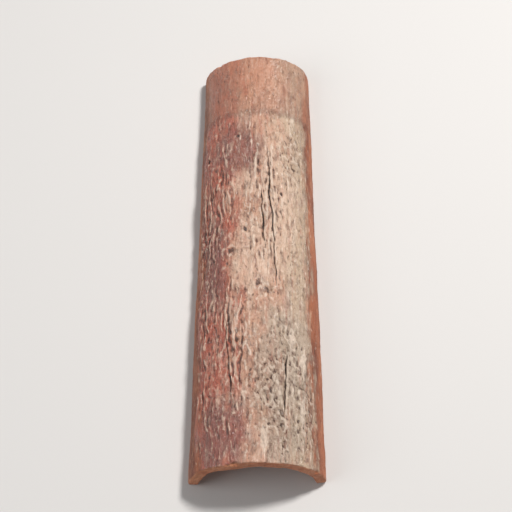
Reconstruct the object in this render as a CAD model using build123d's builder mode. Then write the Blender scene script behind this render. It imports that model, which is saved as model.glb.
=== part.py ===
from build123d import *
import os

# A tapered half-round cover tile of fired clay, the kind that is laid crown up
# over the joint between two rows of pan tiles. One slab of clay is draped over
# a tapered mould, trimmed and fired, so the tile is one solid.
#
# Millimetres. +Y runs up the roof slope: the wide tail is at -Y and the narrow
# head, which the next tile up covers, is at +Y. +Z points up through the crown.
# The origin is on the floor under the middle of the tile, and the two trimmed
# long edges rest on Z = 0.

tile_length = 500.0  # along the slope, end to end
tail_width = 142.0  # outside, across the long edges at the wide end
head_width = 120.0  # outside, across the long edges at the narrow end
tail_rise = 64.0  # crown above the floor at the wide end
head_rise = 54.0  # crown above the floor at the narrow end
wall = 11.0  # thickness of the rolled slab
arris_radius = 2.5  # wet-wiped edges, all round

overhang = 4.0  # the slab hangs this far below the floor line before trimming
arris_share = 0.4  # a rounded edge never takes more of the wall than this

with BuildPart() as cover_tile:
    # Each end is a half-elliptical arch band on short straight legs, square to
    # the length.
    ends = (
        (Plane.XZ.offset(tile_length / 2), tail_width / 2, tail_rise),
        (Plane.XZ.offset(-tile_length / 2), head_width / 2, head_rise),
    )
    for end_plane, half, rise in ends:
        with BuildSketch(end_plane):
            with BuildLine():
                outside = EllipticalCenterArc((0, 0), half, rise, arc_size=180)
                inside = EllipticalCenterArc((0, 0), half - wall, rise - wall, arc_size=180)
                Polyline(outside @ 0, (half, -overhang), (half - wall, -overhang), inside @ 0)
                Polyline(outside @ 1, (-half, -overhang), (wall - half, -overhang), inside @ 1)
            make_face()
    # Straight lines join the two arches, as the tapered mould does.
    loft(ruled=True)
    # The legs are trimmed off with a wire, flush with the mould's board.
    split(bisect_by=Plane.XY, keep=Keep.TOP)
    fillet(cover_tile.edges(), radius=min(arris_radius, arris_share * wall))

cover_tile.part.label = "cover_tile"

os.makedirs("parts", exist_ok=True)
export_step(cover_tile.part, "parts/cover_tile.step")
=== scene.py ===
import math

import bpy
import numpy as np
from mathutils import Matrix, Vector


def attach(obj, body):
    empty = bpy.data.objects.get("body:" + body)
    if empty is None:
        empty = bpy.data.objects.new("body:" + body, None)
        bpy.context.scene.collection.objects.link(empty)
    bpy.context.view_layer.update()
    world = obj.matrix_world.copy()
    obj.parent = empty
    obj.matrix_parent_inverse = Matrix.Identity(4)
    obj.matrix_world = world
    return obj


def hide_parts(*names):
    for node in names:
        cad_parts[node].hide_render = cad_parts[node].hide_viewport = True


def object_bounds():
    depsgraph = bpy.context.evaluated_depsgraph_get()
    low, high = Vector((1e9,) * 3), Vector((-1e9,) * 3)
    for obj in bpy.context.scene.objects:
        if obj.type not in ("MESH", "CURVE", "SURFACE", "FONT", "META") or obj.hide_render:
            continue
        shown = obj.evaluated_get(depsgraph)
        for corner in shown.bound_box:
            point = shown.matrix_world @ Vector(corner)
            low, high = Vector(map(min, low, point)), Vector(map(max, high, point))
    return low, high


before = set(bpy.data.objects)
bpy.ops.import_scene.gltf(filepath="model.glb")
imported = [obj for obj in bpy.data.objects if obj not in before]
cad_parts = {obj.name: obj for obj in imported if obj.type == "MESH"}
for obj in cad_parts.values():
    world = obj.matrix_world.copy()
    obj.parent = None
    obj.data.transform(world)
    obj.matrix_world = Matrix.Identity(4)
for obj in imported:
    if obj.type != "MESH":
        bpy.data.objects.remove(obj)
cadLow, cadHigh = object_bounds()
reach = (cadHigh.y - cadLow.y) / 2             # from the middle of the tile to either end
print("frame loaded, CAD box", [round(v, 4) for v in cadLow], [round(v, 4) for v in cadHigh])

# Metres. +Y runs from the wide tail to the narrow head, +Z up through the crown. A place
# on the back is (across, along, radius across, radius along): across is the way round
# from the crown, to the left if negative, and along is Y.
tile = {
    "tailHalf": 0.071, "headHalf": 0.060,      # half widths outside, across the long edges
    "tailRise": 0.064, "headRise": 0.054,      # crown heights outside
    "wall": 0.011, "arris": 0.0026,            # thickness of the slab, radius of its wiped edges
    "lap": 0.080,                              # length of head that the next tile covers
    "outerSteps": 200, "innerSteps": 100,      # mesh steps over the two arches
    "bedSteps": 10,                            # over each long edge, arrises included
    "bodySteps": 288, "arrisSteps": 4,         # along the length, and over an end arris
    "faceRings": (0.80, 0.62),                 # on the end faces, as shares of half the wall
    "seed": 41,

    "slump": 0.0011, "sunk": 0.30,             # slow unevenness, and how much of it is lost clay
    "endWave": 0.0034, "endShort": 0.76,       # how far the ends wander, and stay back on average
    "endDepth": 0.024,                         # how far into the tile that is felt
    "bedWave": 0.0008, "bedHeight": 0.020,     # lift of the long edges, and up to where
    "sand": 0.00035, "troughs": 0.00045,       # relief of the moulded underside
    "drags": 0.0009,                           # relief of the cut edges and ends

    "wrinkle": 0.0019, "scab": 0.0015, "lump": 0.0014, "grain": 0.00045,
    "wrinkled": [(-0.036, -0.120, 0.055, 0.120), (-0.050, 0.060, 0.040, 0.110),
                 (0.010, 0.050, 0.030, 0.100)],
    "scabby": [(0.038, -0.165, 0.055, 0.095), (0.044, 0.115, 0.022, 0.045),
               (-0.070, -0.020, 0.030, 0.080)],

    # drag lines: where they start and stop along, and the across of each end
    "seams": [(0.135, -0.065, 0.013, 0.025), (0.075, -0.005, 0.006, 0.012),
              (-0.080, -0.185, -0.030, -0.024), (-0.120, -0.200, 0.035, 0.030)],
    "seamSway": 0.0028, "seamDepth": 0.0006, "seamLip": 0.00045,

    # pits: across, along, radius
    "pits": [(0.004, -0.046, 0.0038), (0.011, -0.054, 0.0042), (-0.010, 0.020, 0.0022),
             (-0.026, -0.004, 0.0032), (0.030, 0.065, 0.0018), (0.014, -0.205, 0.0018),
             (-0.060, 0.120, 0.0018), (-0.018, 0.140, 0.0016)],
    "pitDepth": 0.0015,

    # scoops out of the ends: which end, across, radius, and how far out the centre stands
    "chips": [("tail", -0.018, 0.0062, 0.58), ("tail", -0.026, 0.0042, 0.66),
              ("tail", 0.074, 0.0050, 0.62), ("tail", 0.030, 0.0034, 0.70),
              ("head", -0.046, 0.0052, 0.68), ("head", 0.018, 0.0040, 0.70)],

    # colours that keep to their own places
    "stains": {
        "cream": [(0.000, -0.012, 0.032, 0.060), (0.026, 0.060, 0.034, 0.120),
                  # the last cream place is a painted glint streak near the tail
                  (-0.012, 0.078, 0.016, 0.024), (0.0095, -0.226, 0.005, 0.024)],
        "mauve": [(-0.018, 0.122, 0.040, 0.045), (-0.036, -0.215, 0.040, 0.055),
                  (-0.045, -0.020, 0.020, 0.070)],
        "ashen": [(0.036, -0.140, 0.050, 0.095), (0.028, -0.220, 0.034, 0.045)],
        # painted glints: white flecks at set places, standing in for light caught on the relief
        "paintedGlints": [(0.0095, -0.220, 0.0045, 0.024), (0.055, -0.131, 0.0065, 0.018),
                  (0.053, -0.189, 0.0060, 0.022), (0.041, -0.108, 0.0055, 0.016),
                  (-0.047, -0.062, 0.0040, 0.026), (-0.019, -0.082, 0.0035, 0.030),
                  (-0.039, -0.173, 0.0040, 0.020)],
    },
}


def hashed(table, cell):
    # a number below 256 for every lattice cell, by three lookups in a shuffled table
    key = cell & 255
    return table[(table[(table[key[..., 0]] + key[..., 1]) & 255] + key[..., 2]) & 255]


def gradientNoise(points, seed):
    # every lattice corner holds a random direction; the value is the smooth
    # blend of the eight products with the way from each corner, about -1 to 1
    rng = np.random.default_rng(seed)
    table = rng.permutation(256)
    ways = rng.normal(size=(256, 3))
    ways /= np.linalg.norm(ways, axis=1, keepdims=True)
    cell = np.floor(points).astype(np.int64)
    inside = points - cell
    fade = inside**3 * (inside * (inside * 6 - 15) + 10)
    total = np.zeros(points.shape[:-1])
    for corner in np.ndindex(2, 2, 2):
        weight = np.where(corner, fade, 1 - fade).prod(-1)
        total += weight * ((inside - corner) * ways[hashed(table, cell + corner)]).sum(-1)
    return 1.6 * total


def layeredNoise(points, seed, layers=4, gain=0.5):
    # gradient noise summed at doubling frequencies and shrinking heights
    total = sum(gain**k * gradientNoise(points * 2**k + 17.3 * k, seed + k) for k in range(layers))
    return total / sum(gain**k for k in range(layers))


def crags(points, seed, layers):
    # sharp crests where noise crosses zero, broken into strokes by a second noise, with
    # finer crests growing on the coarse ones
    total, weight = 0, 1
    for k in range(layers):
        ridge = np.abs(gradientNoise(points * 2**k + 9.7 * k, seed + k))
        crest = np.clip(1 - 2.1 * ridge, 0, 1)**2
        crest *= smooth(-0.30, 0.20, gradientNoise(points * 1.3 * 2**k + 5.3, seed + k + 200))
        total = total + 0.55**k * weight * crest
        weight = np.clip(1.8 * crest, 0.15, 1)
    return total


def cellNoise(points, seed):
    # one random spot in every lattice cell: distances to the nearest and the
    # second nearest spot, a random number of the nearest, and the way from it
    rng = np.random.default_rng(seed)
    table = rng.permutation(256)
    spots, draws = rng.random((256, 3)), rng.random(256)
    cell = np.floor(points).astype(np.int64)
    nearest = np.full(points.shape[:-1], 9.0)
    second, number, away = nearest.copy(), np.zeros_like(nearest), np.zeros(points.shape)
    for step in np.ndindex(3, 3, 3):
        corner = cell + np.array(step) - 1
        pick = hashed(table, corner)
        way = points - corner - spots[pick]
        size = np.linalg.norm(way, axis=-1)
        closer = size < nearest
        second = np.where(closer, nearest, np.minimum(second, size))
        number = np.where(closer, draws[pick], number)
        away = np.where(closer[..., None], way, away)
        nearest = np.where(closer, size, nearest)
    return nearest, second, number, away


def smooth(low, high, values):
    # 0 at low, 1 at high, and a smooth rise between; high may be the smaller one
    t = np.clip((values - low) / (high - low), 0, 1)
    return t * t * (3 - 2 * t)


def ovals(across, along, places):
    # soft ovals: 1 at the centre of each place, falling to 0 past its radii
    total = np.zeros(across.shape)
    for x, y, radiusAcross, radiusAlong in places:
        away = np.hypot((across - x) / radiusAcross, (along - y) / radiusAlong)
        total = np.maximum(total, smooth(1.2, 0.3, away))
    return total


def blurred(values, times):
    # the weighted mean with the neighbours on the grid, taken again and again
    for _ in range(times):
        values = (np.roll(values, 1, 1) + 2 * values + np.roll(values, -1, 1)) / 4
        padded = np.pad(values, ((1, 1), (0, 0)), "edge")
        values = (padded[:-2] + 2 * values + padded[2:]) / 4
    return values


def sectionLoop(half, rise):
    # the closed band of one cross-section, from the right foot over the crown to the
    # left bed and back inside: two half ellipses a wall apart, joined by flat beds with
    # quarter round arrises; each point has a partner on the wall's middle line
    wall, arris, steps = tile["wall"], tile["arris"], tile["bedSteps"]
    half, rise = half[:, None], rise[:, None]

    def arch(inset, foot, share):
        start = np.arcsin(foot / (rise - inset))
        turn = start + (math.pi - 2 * start) * share
        return np.stack([(half - inset) * np.cos(turn), (rise - inset) * np.sin(turn)], -1)

    outer = np.linspace(0, 1, tile["outerSteps"] + 1)[None]
    inner = np.linspace(1, 0, tile["innerSteps"] + 1)[None]
    bend = np.linspace(0, math.pi / 2, steps // 2 - 1)[1:]
    flat = wall / 2 - arris
    # one long edge, from the outer arris to the inner one, measured from its middle
    side = np.concatenate(
        [flat + arris * np.cos(bend), [0.0], -flat - arris * np.sin(bend[:-1])])
    up = np.concatenate([arris * (1 - np.sin(bend)), [0.0], arris * (1 - np.cos(bend[:-1]))])
    leftBed = np.stack([-(half - wall / 2) - side, 0 * half + up], -1)
    rightBed = np.stack([(half - wall / 2) + side, 0 * half + up], -1)[:, ::-1]
    loop = np.concatenate([arch(0, arris, outer), leftBed, arch(wall, arris, inner), rightBed], 1)

    middle = arch(wall / 2, wall / 2, outer)
    pairs = np.concatenate([
        np.arange(tile["outerSteps"] + 1),
        np.full(len(side), tile["outerSteps"]),
        np.arange(tile["outerSteps"], -1, -(tile["outerSteps"] // tile["innerSteps"])),
        np.zeros(len(side), int),
    ])
    return loop, middle, pairs


def tileRings():
    # rings of the section along the tile: over each end's arris and on to the middle
    # of its flat face the ring shrinks towards the wall's middle line
    length, arris, wall = 2 * reach, tile["arris"], tile["wall"]
    bend = np.linspace(math.pi / 2, 0, tile["arrisSteps"] + 1)
    face = np.array(tile["faceRings"]) * wall / 2
    inset = np.concatenate([face, arris * (1 - np.cos(bend))])
    fromEnd = np.concatenate([0 * face, arris * (1 - np.sin(bend))])
    body = np.linspace(arris, length - arris, tile["bodySteps"] + 1)[1:-1]
    fromTail = np.concatenate([fromEnd, body, length - fromEnd[::-1]])
    shrink = np.concatenate([inset, 0 * body, inset[::-1]]) / (wall / 2)
    share = fromTail / length
    half = tile["tailHalf"] + (tile["headHalf"] - tile["tailHalf"]) * share
    rise = tile["tailRise"] + (tile["headRise"] - tile["tailRise"]) * share
    loop, middle, pairs = sectionLoop(half, rise)
    loop = loop + (middle[:, pairs] - loop) * shrink[:, None, None]
    along = np.broadcast_to((fromTail - length / 2)[:, None], loop.shape[:2])
    return np.stack([loop[..., 0], along, loop[..., 1]], -1), pairs


def ringNormals(rings):
    # the cross product of the ways along and round the grid, pointing out of the clay
    around = np.roll(rings, -1, 1) - np.roll(rings, 1, 1)
    normal = np.cross(np.gradient(rings, axis=0), around)
    return normal / np.maximum(np.linalg.norm(normal, axis=-1, keepdims=True), 1e-12)


def ringParts(rings):
    # the way round from the crown at every point, as its share of the half circle times
    # the arch's mean radius, and 1 for a ring's points on the outer and on the inner arch
    count = rings.shape[1]
    nOuter, nInner = tile["outerSteps"], tile["innerSteps"]
    nBed = (count - nOuter - nInner - 2) // 2
    share = np.concatenate([np.linspace(0, 1, nOuter + 1), np.ones(nBed),
                            np.linspace(1, 0, nInner + 1), np.zeros(nBed)])
    mean = (rings[..., 2].max(1) + np.abs(rings[..., 0]).max(1)) / 2
    outside, under = np.zeros(count), np.zeros(count)
    outside[: nOuter + 1] = 1
    under[nOuter + 1 + nBed: count - nBed] = 1
    return (0.5 - share)[None] * math.pi * mean[:, None], outside, under


def seamDistances(across, along):
    # way in millimetres to each drag line, which sways down the back from one end's
    # across to the other's; it is divided by the line's strength, so the line tapers
    distances = []
    for number, (start, stop, fromAcross, toAcross) in enumerate(tile["seams"]):
        down = (start - along) / (start - stop)
        row = np.stack([0 * along, along / 0.026, 0 * along + 3.7 * number], -1)
        sway = tile["seamSway"] * layeredNoise(row, tile["seed"] + 50, 3)
        line = fromAcross + (toAcross - fromAcross) * down + sway
        strength = smooth(0.0, 0.25, down) * smooth(1.0, 0.75, down)
        strength = strength * (0.75 + 0.7 * layeredNoise(row * 2.6, tile["seed"] + 55, 2))
        distances.append((across - line) * 1000 / np.maximum(strength, 0.02))
    return distances


def backRelief(points, across, seed):
    # height of the back over the smooth arch: dragged wrinkles are crests stretched
    # along the tile with torn hollows between, scabs are tilted flakes, lumps and grain
    # are plain noise; each is kept to its own ovals and to patches of slow noise
    along = points[..., 1]
    lapLine = reach - tile["lap"]
    spread = layeredNoise(points / (0.045, 0.100, 0.045), seed, 3)
    covered = smooth(lapLine - 0.010, lapLine + 0.030, along)
    wrinkled = ovals(across, along, tile["wrinkled"]) * smooth(-0.7, 0.1, spread)
    wrinkled = np.maximum(0.20 + 0.25 * smooth(-0.2, 0.4, spread), wrinkled)
    scabby = ovals(across, along, tile["scabby"]) * smooth(0.7, -0.2, spread)
    scabby = np.maximum(0.12 + 0.25 * smooth(0.1, -0.5, spread), scabby)
    flank = smooth(0.060, 0.085, np.abs(across))
    wrinkled, scabby = [mask * (1 - 0.75 * covered) * (1 - 0.6 * flank)
                        for mask in (wrinkled, scabby)]

    sway = layeredNoise(points / (0.014, 0.026, 0.014), seed + 10, 3)
    bent = points + (0.0050 * sway)[..., None] * (1, 0, 1)
    crests = 0.75 * crags(bent / (0.0110, 0.062, 0.0110), seed + 11, 4)
    crests += 0.55 * crags(bent / (0.0060, 0.030, 0.0060), seed + 15, 3)
    tears = smooth(0.05, 0.60, layeredNoise(bent / (0.0080, 0.044, 0.0080), seed + 19, 3))

    shift = [layeredNoise(points / 0.0080, seed + 24 + k, 3) for k in range(3)]
    ragged = points + 0.0030 * np.stack(shift, -1)
    near, following, draw, way = cellNoise(ragged / (0.0072, 0.0115, 0.0072), seed + 20)
    flakes = smooth(0.0, 0.10, following - near) * (0.15 + 0.85 * draw) + 0.7 * way[..., 1]
    knobs = crags(ragged / (0.0100, 0.0150, 0.0100), seed + 28, 3)

    lumps = layeredNoise(bent / (0.0120, 0.034, 0.0120), seed + 36, 2)
    grain = layeredNoise(points / (0.0042, 0.0070, 0.0042), seed + 40, 2)
    strokes = layeredNoise(points / (0.0050, 0.1600, 0.0050), seed + 44, 2)
    height = tile["wrinkle"] * wrinkled * (crests - 0.4 - 0.7 * tears)
    height += tile["scab"] * scabby * (0.55 * flakes + 0.75 * knobs - 0.7)
    height += tile["lump"] * (0.4 + 0.6 * np.maximum(wrinkled, scabby)) * lumps
    coarse = (0.45 + wrinkled + scabby) * grain + 0.6 * (1 - scabby) * strokes
    height += tile["grain"] * coarse
    for x, y, radius in tile["pits"]:
        away = np.hypot(across - x, (along - y) * 0.75) / radius * (1 + 0.45 * grain)
        height -= tile["pitDepth"] * np.exp(-away**4)
    for seam in seamDistances(across, along):
        height += tile["seamLip"] * np.exp(-((seam - 2.4) / 1.5)**2)
        height -= tile["seamDepth"] * np.exp(-(seam / 1.2)**2)
    return height, wrinkled, scabby


def wandered(points, rings, across, seed):
    # the ends move back in Y by slow noise, less so further in, and the long edges lift
    # off the floor by slow noise, less so higher up
    along = rings[..., 1]
    for end, line in ((-1, 3.1), (1, 8.7)):
        track = np.stack([across / 0.050, 0 * along, 0 * along + line], -1)
        back = tile["endShort"] + 0.9 * layeredNoise(track, seed + 95, 3)
        pull = np.exp(-(reach - end * along) / tile["endDepth"]) * back
        points[..., 1] -= end * tile["endWave"] * pull
    points[..., 1] = np.clip(points[..., 1], -reach, reach)
    track = np.stack([np.sign(rings[..., 0]) * 3, along / 0.070, 0 * along], -1)
    lift = 0.5 + 0.5 * gradientNoise(track, seed + 97)
    points[..., 2] += tile["bedWave"] * smooth(tile["bedHeight"], 0.0, rings[..., 2]) * lift
    return points


def chipped(points, normals, across, seed):
    # each chip is a ball whose centre stands off an end's outer edge; what of the
    # clay lies in the ball is pressed out to its skin, which leaves a scoop
    inner = tile["arrisSteps"] + 3
    for end, x, radius, lift in tile["chips"]:
        row, edge, outward = (inner, 0, -1) if end == "tail" else (-1 - inner, -1, 1)
        column = np.argmin(np.abs(across[row, : tile["outerSteps"]] - x))
        spot = points[row, column] + normals[row, column] * radius * lift
        spot[1] = points[edge, column, 1] + radius * lift * outward
        away = points - spot
        size = np.linalg.norm(away, axis=-1)
        rough = 1.4 + 0.22 * gradientNoise(points / 0.0034, seed + 60)
        push = np.clip(radius * rough - size, 0, None)
        points = points + away / np.maximum(size, 1e-9)[..., None] * push[..., None]
    return points


def endCaps(rows, count, pairs):
    # the last ring at each end joins the wall's middle line: quads from the back, fans
    # from the beds, and from the coarser inside three triangles to a step
    faces = []
    for row, base in ((0, rows * count), (rows - 1, rows * count + tile["outerSteps"] + 1)):
        ring = np.arange(count) + row * count
        onward = np.roll(ring, -1)
        a, b = base + pairs, base + np.roll(pairs, -1)
        hop = np.abs(a - b)
        sets = [
            np.stack([ring, onward, a], -1)[hop == 0],
            np.stack([ring, onward, b, a], -1)[hop == 1],
            np.stack([ring, onward, (a + b) // 2], -1)[hop == 2],
            np.stack([ring, (a + b) // 2, a], -1)[hop == 2],
            np.stack([onward, b, (a + b) // 2], -1)[hop == 2],
        ]
        for group in sets:
            faces += (group if row == 0 else group[:, ::-1]).tolist()
    return faces


def capLine(ring, outside, under):
    # half way between the outer arch and the inner one, which has fewer points and is
    # filled up evenly between them
    outerSide, innerSide = ring[outside == 1], ring[under == 1][::-1]
    places = np.arange(len(outerSide))
    step = tile["outerSteps"] // tile["innerSteps"]
    filled = [np.interp(places, places[::step], innerSide[:, k]) for k in range(3)]
    return (outerSide + np.stack(filled, -1)) / 2


def put(name, data):
    # a new object in the scene
    made = bpy.data.objects.new(name, data)
    bpy.context.scene.collection.objects.link(made)
    return made


def makeTile():
    # the smooth rings move along their normals by the relief of the back, the moulded
    # side or the cut faces, then the ends and edges wander, the chips come out, and the
    # tile is set down on the floor
    seed = tile["seed"]
    rings, pairs = tileRings()
    rows, count = rings.shape[:2]
    normals = ringNormals(rings)
    across, outside, under = ringParts(rings)
    along = rings[..., 1]
    facing = smooth(0.75, 0.25, np.abs(normals[..., 1]))
    onBack, onUnder = outside[None] * facing, under[None] * facing
    onCut = 1 - onBack - onUnder

    relief, wrinkled, scabby = backRelief(rings, across, seed)
    wiped = 0.4 + 0.6 * smooth(0.0, 0.012, reach - np.abs(along))
    sand = tile["sand"] * layeredNoise(rings / (0.0070, 0.012, 0.0070), seed + 70, 3)
    troughs = tile["troughs"] * gradientNoise(rings / (0.018, 0.240, 0.018), seed + 75)
    drags = tile["drags"] * layeredNoise(rings / (0.0120, 0.012, 0.0040), seed + 80, 4)
    height = onBack * wiped * relief + onUnder * (sand + troughs) + onCut * drags
    slow = layeredNoise(rings / (0.055, 0.120, 0.055), seed + 90, 2)
    settled = tile["slump"] * (slow - tile["sunk"] + 0.55 * under[None])
    points = rings + normals * (height + settled)[..., None]
    points = wandered(points, rings, across, seed)
    points = chipped(points, normals, across, seed)
    points[..., 2] -= points[..., 2].min()

    middles = [capLine(ring, outside, under) for ring in (points[0], points[-1])]
    grid = np.arange(rows * count).reshape(rows, count)
    ahead = np.roll(grid, -1, 1)
    quads = np.stack([grid[:-1], grid[1:], ahead[1:], ahead[:-1]], -1).reshape(-1, 4).tolist()
    faces = quads + endCaps(rows, count, pairs)
    vertices = np.concatenate([points.reshape(-1, 3), *middles])
    mesh = bpy.data.meshes.new("coverTileSkin")
    mesh.from_pydata(vertices.tolist(), [], faces)

    # what the material reads: the values over the grid, and the one on the cap lines
    lapLine = reach - tile["lap"]
    fields = {
        "across": (across * 1000, 0), "under": (onUnder, 0), "cut": (onCut, 1),
        "hollow": ((height - blurred(height, 6)) * 4000, 0),
        "arrisWearAndHighlight": (4 * onCut * (1 - onCut) * outside, 0),
        "wrinkled": (onBack * wrinkled, 0), "scabby": (onBack * scabby, 0),
        "covered": (smooth(lapLine - 0.010, lapLine + 0.010, along), 0),
    }
    for number, seam in enumerate(seamDistances(across, along)):
        fields[f"seam{number}"] = (np.clip(seam, -20, 20), 20)
    for key, places in tile["stains"].items():
        fields[key] = (ovals(across, along, places), 0)
    for key, (values, onCap) in fields.items():
        layer = mesh.attributes.new(key, "FLOAT", "POINT")
        caps = np.full(len(vertices) - rows * count, onCap)
        whole = np.concatenate([values.reshape(-1), caps])
        layer.data.foreach_set("value", whole.astype(np.float32))
    mesh.polygons.foreach_set("use_smooth", [True] * len(mesh.polygons))
    mesh.update()
    triangles = sum(len(face) - 2 for face in faces)
    print("tile skin:", len(vertices), "points,", triangles, "triangles")
    return put("coverTileSkin", mesh)


class Wire:
    # one output in a material; sums and products with it add Math nodes
    def __init__(self, paint, socket):
        self.paint, self.socket = paint, socket

    def __add__(self, other):
        return self.paint.math("ADD", self, other)

    def __mul__(self, other):
        return self.paint.math("MULTIPLY", self, other)

    def __sub__(self, other):
        return self.paint.math("SUBTRACT", self, other)

    def __rsub__(self, other):
        return self.paint.math("SUBTRACT", other, self)

    def __abs__(self):
        return self.paint.math("ABSOLUTE", self)

    __radd__, __rmul__ = __add__, __mul__

    def step(self, low, high):
        # 0 at low and 1 at high, whichever is the larger, with a smooth rise between
        return self.paint.node("ShaderNodeMapRange", {"interpolation_type": "SMOOTHSTEP"}, {
            "Value": self, "From Min": low, "From Max": high, "To Min": 0.0, "To Max": 1.0})


class Paint:
    # the nodes of a new material, or of a world
    def __init__(self, name, owner=None):
        self.material = owner or bpy.data.materials.new(name)
        self.material.use_nodes = True
        self.tree = self.material.node_tree
        self.tree.nodes.clear()

    def node(self, kind, settings, sockets, output=0):
        # a node of any type: its settings first, then values or links on its sockets
        made = self.tree.nodes.new(kind)
        for key, value in settings.items():
            setattr(made, key, value)
        for key, value in sockets.items():
            if isinstance(value, Wire):
                self.tree.links.new(value.socket, made.inputs[key])
            else:
                made.inputs[key].default_value = value
        return Wire(self, made.outputs[output]) if made.outputs else made

    def math(self, operation, *values):
        return self.node("ShaderNodeMath", {"operation": operation}, dict(enumerate(values)))

    def field(self, name):
        # what makeTile stored on the mesh under that name
        return self.node("ShaderNodeAttribute", {"attribute_name": name}, {}, "Fac")

    def place(self, across, along):
        # object coordinates, divided by a pattern's size across and along the tile
        where = self.node("ShaderNodeTexCoord", {}, {}, "Object")
        return self.node("ShaderNodeVectorMath", {"operation": "DIVIDE"},
                         {0: where, 1: (across, along, across)})

    def noise(self, across, along, detail=3.0, roughness=0.55, distortion=0.0, kind="FBM"):
        # layered noise, from 0 to 1, of that size in metres
        return self.node("ShaderNodeTexNoise", {"noise_type": kind}, {
            "Vector": self.place(across, along), "Scale": 1.0, "Detail": detail,
            "Roughness": roughness, "Distortion": distortion}, "Fac")

    def eye(self):
        # 1 where the backdrop is looked at, straight or in a reflection
        looks = [self.node("ShaderNodeLightPath", {}, {}, f"Is {ray} Ray")
                 for ray in ("Camera", "Glossy", "Transmission")]
        return self.math("MAXIMUM", self.math("MAXIMUM", looks[0], looks[1]), looks[2])

    def mix(self, share, first, second):
        # share of the second colour over the first
        return self.node("ShaderNodeMix", {"data_type": "RGBA", "clamp_factor": True},
                         {0: share, 6: first, 7: second}, 2)

    def finish(self, **sockets):
        # the shader and the output; an underscore in a socket's name stands for a space
        named = {key.replace("_", " "): value for key, value in sockets.items()}
        shader = self.node("ShaderNodeBsdfPrincipled", {}, named)
        self.node("ShaderNodeOutputMaterial", {}, {"Surface": shader})
        print(self.material.name + ":", len(self.tree.nodes), "nodes")
        return self.material


def colour(red, green, blue):
    # screen values from 0 to 255 made linear
    screen = np.array([red, green, blue]) / 255
    linear = np.where(screen <= 0.04045, screen / 12.92, ((screen + 0.055) / 1.055) ** 2.4)
    return (*map(float, linear), 1.0)


clay = {
    "brick": colour(122, 66, 46), "orange": colour(176, 104, 70), "pale": colour(206, 148, 114),
    "umber": colour(76, 44, 32), "rose": colour(184, 96, 74), "mauve": colour(124, 76, 70),
    "peach": colour(202, 154, 128), "cream": colour(224, 192, 168), "beige": colour(198, 172, 146),
    "ashen": colour(186, 170, 152), "chalk": colour(242, 222, 204), "soot": colour(42, 28, 22),
    "sand": colour(202, 138, 102),
    # millimetres round from the crown: where the weathered skin ends, and how far that
    # line wanders; where rose turns to peach and peach to beige, and how far those wander
    "crownEdge": 69, "crownSoft": 7, "crownBorder": 68, "edgeWander": 60,
    "roseTurn": (-42, -4), "beigeTurn": (4, 44), "turnWander": 120,
    "stainShares": {"mauve": 0.85, "ashen": 0.75, "cream": 0.75}, "stainWander": 2.6,
    "matt": 0.68, "satin": 0.34,               # roughness of bare clay, and what gloss takes off
    "bump": 0.0014,                            # metres of fine relief
}


def firedBody(paint):
    # orange with brick and pale clouds, drawn out along the tile
    mix, noise = paint.mix, paint.noise
    body = mix(noise(0.030, 0.095, 5).step(0.36, 0.62), clay["brick"], clay["orange"])
    body = mix(noise(0.012, 0.045, 6, 0.65).step(0.50, 0.74) * 0.6, body, clay["pale"])
    return mix(noise(0.006, 0.060, 5, 0.65).step(0.54, 0.74) * 0.5, body, clay["umber"])


def cutAndMoulded(paint, skin, speckle):
    # sandy clay on the cut faces, pale along their outer edges partly from wear and partly as a
    # painted highlight, and on the underside
    mix, noise, field = paint.mix, paint.noise, paint.field
    cutClay = mix(noise(0.011, 0.014, 6, 0.7).step(0.30, 0.72), clay["orange"], clay["sand"])
    cutClay = mix(noise(0.0022, 0.0022, 4, 0.7).step(0.56, 0.70) * 0.55, cutClay, clay["brick"])
    cutClay = mix(speckle.step(0.60, 0.74) * 0.5, cutClay, clay["umber"])
    skin = mix(field("cut"), skin, cutClay)
    # pale along the outer arris: partly wear, partly a painted highlight
    arrisWearAndHighlight = field("arrisWearAndHighlight") * noise(0.0060, 0.0060, 4, 0.65).step(0.36, 0.56)
    skin = mix(arrisWearAndHighlight * 0.7, skin, clay["pale"])
    moulded = mix(noise(0.022, 0.060, 6).step(0.36, 0.64), clay["orange"], clay["sand"])
    moulded = mix(noise(0.0014, 0.0014, 2, 0.7).step(0.58, 0.72) * 0.5, moulded, clay["brick"])
    return mix(field("under"), skin, moulded)


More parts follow.
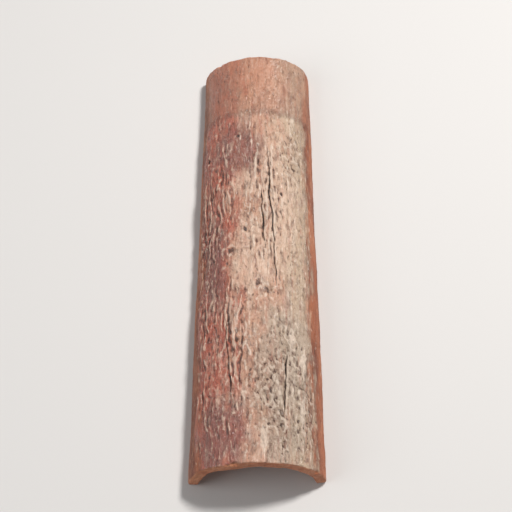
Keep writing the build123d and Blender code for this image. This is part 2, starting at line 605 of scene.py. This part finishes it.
def weatheredClay():
    # colours are laid over each other by masks of noise and of the fields on the mesh
    paint = Paint("weatheredClay")
    mix, noise, field = paint.mix, paint.noise, paint.field
    across, hollow = field("across"), field("hollow")
    wrinkled, scabby = field("wrinkled"), field("scabby")
    onBack = 1 - field("cut") - field("under")
    body = firedBody(paint)

    # weather on the crown, with an edge that wanders: rose on the left, peach over the
    # crown and beige on the right, run into each other, then the stains in their places
    edge = abs(across) + (noise(0.016, 0.050, 6, 0.62) - 0.5) * clay["edgeWander"]
    crown = edge.step(clay["crownEdge"] + clay["crownSoft"], clay["crownEdge"] - clay["crownSoft"])
    mottle = noise(0.0090, 0.026, 6, 0.65)
    drift = across + (noise(0.014, 0.040, 6, 0.65) - 0.5) * clay["turnWander"]
    weather = mix(drift.step(*clay["roseTurn"]), clay["rose"], clay["peach"])
    weather = mix(drift.step(*clay["beigeTurn"]), weather, clay["beige"])
    for name, share in clay["stainShares"].items():
        seat = field(name) + (noise(0.0100, 0.028, 6, 0.66) - 0.5) * clay["stainWander"]
        weather = mix(seat.step(0.0, 1.1) * share, weather, clay[name])
    streaks = noise(0.0048, 0.046, 6, 0.66, 0.6)
    weather = mix(streaks.step(0.52, 0.66) * 0.36, weather, clay["rose"])
    pale = streaks.step(0.46, 0.34) * drift.step(-60, 10)
    weather = mix(pale * 0.36, weather, clay["chalk"])
    weather = mix(mottle.step(0.54, 0.70) * 0.40, weather, clay["mauve"])
    grime = noise(0.0054, 0.0160, 6, 0.72).step(0.52, 0.68)
    weather = mix(grime * 0.55, weather, mix(0.5, clay["umber"], clay["mauve"]))
    skin = mix(crown * 0.94, body, weather)
    border = abs(edge - clay["crownBorder"]).step(9, 1) * mottle.step(0.42, 0.58)
    skin = mix(border * 0.35, skin, clay["umber"])

    # the covered head kept its clean clay, with a painted shadow line where the next tile's lip
    # ended
    covered = field("covered") + (noise(0.010, 0.008, 4, 0.6) - 0.5) * 1.1
    skin = mix(covered.step(0.2, 0.9) * 0.55, skin, mix(0.35, body, clay["peach"]))
    # painted shadow of the next tile's lip along the lap line
    skin = mix(abs(covered - 0.5).step(0.55, 0.05) * 0.35, skin, clay["umber"])

    # pale crests are partly worn clay and partly a painted highlight, more so on the left; the
    # hollows of the relief are darkened, partly as dirt and partly as painted shade, and nicks
    # hold dirt
    speckle = noise(0.0016, 0.0030, 4, 0.7)
    wearAndShading = hollow + (speckle - 0.5) * 1.4 + (mottle - 0.5) * 1.2 + scabby * 0.15
    left = drift.step(10, -50)
    crestAndGlintPale = mix(left, clay["chalk"], clay["cream"])
    skin = mix(wearAndShading.step(0.25, 1.6) * (0.62 + 0.14 * left), skin, crestAndGlintPale)
    skin = mix((wearAndShading - 0.25 * left).step(-0.30, -1.9) * 0.88, skin, clay["umber"])
    # the deepest hollows go near black: painted shade, with some dirt
    skin = mix(hollow.step(-1.8, -3.0) * 0.55, skin, clay["soot"])
    # painted glints: white flecks at their set places, with a little more gloss
    paintedGlints = (field("paintedGlints") + (noise(0.0030, 0.0090, 5, 0.7) - 0.5) * 2.6).step(0.45, 0.95)
    skin = mix(paintedGlints * (0.66 - 0.34 * left), skin, crestAndGlintPale)
    nicks = noise(0.0024, 0.0070, 4, 0.7).step(0.62, 0.70)
    skin = mix(nicks * 0.5, skin, clay["soot"])
    # scattered painted glints: chalk white flecks over the crown, fewer on the left
    paintedSparkle = noise(0.0050, 0.0120, 5, 0.7).step(0.60, 0.70) * crown * drift.step(-120, 0)
    skin = mix(paintedSparkle * 0.4, skin, clay["chalk"])

    # the drag lines are black where their nearest is less than a millimetre away
    seam = abs(field("seam0"))
    for number in range(1, len(tile["seams"])):
        seam = paint.math("MINIMUM", seam, abs(field(f"seam{number}")))
    line = (seam + (noise(0.003, 0.006, 3) - 0.5) * 0.9).step(1.05, 0.25)
    skin = mix(line * noise(0.004, 0.020, 2).step(0.34, 0.52) * 0.85, skin, clay["soot"])

    # the other faces, and stray grit, worn pale, on the smooth flanks and the cut edges
    skin = cutAndMoulded(paint, skin, speckle)
    grains = noise(0.0030, 0.0040, 3, 0.7).step(0.62, 0.70)
    skin = mix(grains * (1 - crown * 0.7) * 0.45, skin, clay["pale"])

    # fine relief: torn threads along the tile, grit, nicks and the drag lines
    threads = noise(0.0020, 0.0090, 5, 0.62, 0.4) * (wrinkled + 0.4)
    torn = noise(0.0044, 0.0220, 5, 0.62, 0.7, "RIDGED_MULTIFRACTAL")
    torn = torn * (wrinkled * 0.9 + scabby * 0.5 + 0.25)
    grit = noise(0.0024, 0.0036, 4, 0.65) * (scabby * 1.8 + 0.6)
    relief = threads + torn * (onBack * 0.8 + 0.2) + grit + grains * 0.5
    relief = relief - nicks * 0.6 - line * 1.2 - grime * 0.35
    bump = paint.node("ShaderNodeBump", {}, {
        "Strength": 1.0, "Distance": clay["bump"], "Height": relief})

    # the weathered skin has a satin gloss, which comes and goes
    patches = noise(0.0120, 0.0300, 5, 0.65).step(0.42, 0.58)
    gloss = clay["satin"] + patches * 0.14 + wearAndShading.step(0.2, 1.6) * 0.16 + paintedGlints * 0.1
    rough = clay["matt"] - crown * onBack * gloss + (speckle - 0.5) * 0.5
    rough = rough + nicks * 0.2 + grime * 0.12
    return paint.finish(Base_Color=skin, Roughness=rough, Specular_IOR_Level=0.6, Normal=bump)


studio = {
    "floorSize": 60.0, "floor": (0.76, 0.75, 0.74, 1.0),   # what is far off shows this colour
    "backdrop": (0.5, 2.2),                                # metres out, from lit to even
    "azimuth": 6.0, "elevation": 62.0, "distance": 1.62, "lens": 105.0,
    "aim": (0.0, 0.004, 0.024),
    "lamps": {
        "key": {"power": 76.0, "size": 0.45, "at": (1.25, 0.85, 2.45), "tint": (1.0, 0.97, 0.94)},
        "fill": {"power": 17.0, "size": 1.6, "at": (-1.9, -0.6, 1.6), "tint": (1.0, 1.0, 1.0)},
    },
    "world": 0.17,
}


def makeStudio():
    # near the tile the floor is lit and takes its shadow; to the eye it turns into an
    # even pale backdrop further out, with the world behind it in the same colour
    paper = Paint("floorPaper")
    lit = paper.node("ShaderNodeBsdfDiffuse", {}, {"Color": studio["floor"], "Roughness": 0.0})
    even = paper.node("ShaderNodeEmission", {}, {"Color": studio["floor"], "Strength": 1.0})
    where = paper.node("ShaderNodeTexCoord", {}, {}, "Object")
    out = paper.node("ShaderNodeVectorMath", {"operation": "LENGTH"}, {0: where}, "Value")
    far = out.step(*studio["backdrop"])
    shown = paper.node("ShaderNodeMixShader", {}, {0: far * paper.eye(), 1: lit, 2: even})
    paper.node("ShaderNodeOutputMaterial", {}, {"Surface": shown})
    size = studio["floorSize"] / 2
    corners = [(-size, -size, 0), (size, -size, 0), (size, size, 0), (-size, size, 0)]
    mesh = bpy.data.meshes.new("floor")
    mesh.from_pydata(corners, [], [(0, 1, 2, 3)])
    mesh.materials.append(paper.material)
    put("floor", mesh)

    for name, lamp in studio["lamps"].items():
        light = bpy.data.lights.new(name, "AREA")
        light.energy, light.size, light.color = lamp["power"], lamp["size"], lamp["tint"]
        holder = put(name, light)
        holder.location = lamp["at"]
        holder.rotation_euler = (-Vector(lamp["at"])).to_track_quat("-Z", "Y").to_euler()

    world = bpy.data.worlds.new("studio")
    sky = Paint("sky", world)
    seen = sky.eye()
    tint = sky.mix(seen, (1.0, 1.0, 1.0, 1.0), studio["floor"])
    strength = seen * (1 - studio["world"]) + studio["world"]
    light = sky.node("ShaderNodeBackground", {}, {"Color": tint, "Strength": strength})
    sky.node("ShaderNodeOutputWorld", {}, {"Surface": light})
    bpy.context.scene.world = world
    print("studio ready:", len(studio["lamps"]), "lamps, floor and world")


def makeCamera():
    # the camera stands round and above the aim by azimuth and elevation, and the tile's
    # long axis stands upright in the frame
    camera = put("camera", bpy.data.cameras.new("camera"))
    camera.data.lens = studio["lens"]
    turn, lift = math.radians(studio["azimuth"]), math.radians(studio["elevation"])
    toCamera = Vector(
        (math.sin(turn) * math.cos(lift), -math.cos(turn) * math.cos(lift), math.sin(lift)))
    right = Vector((0, 1, 0)).cross(toCamera).normalized()
    axes = Matrix((right, toCamera.cross(right), toCamera)).transposed()
    spot = Vector(studio["aim"]) + toCamera * studio["distance"]
    camera.matrix_world = Matrix.Translation(spot) @ axes.to_4x4()
    bpy.context.scene.camera = camera
    print("camera at", [round(v, 3) for v in spot])


bpy.context.scene.view_settings.view_transform = "Standard"
skin = makeTile()
skin.data.materials.append(weatheredClay())
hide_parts("cover_tile")
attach(skin, "root")
makeStudio()
makeCamera()
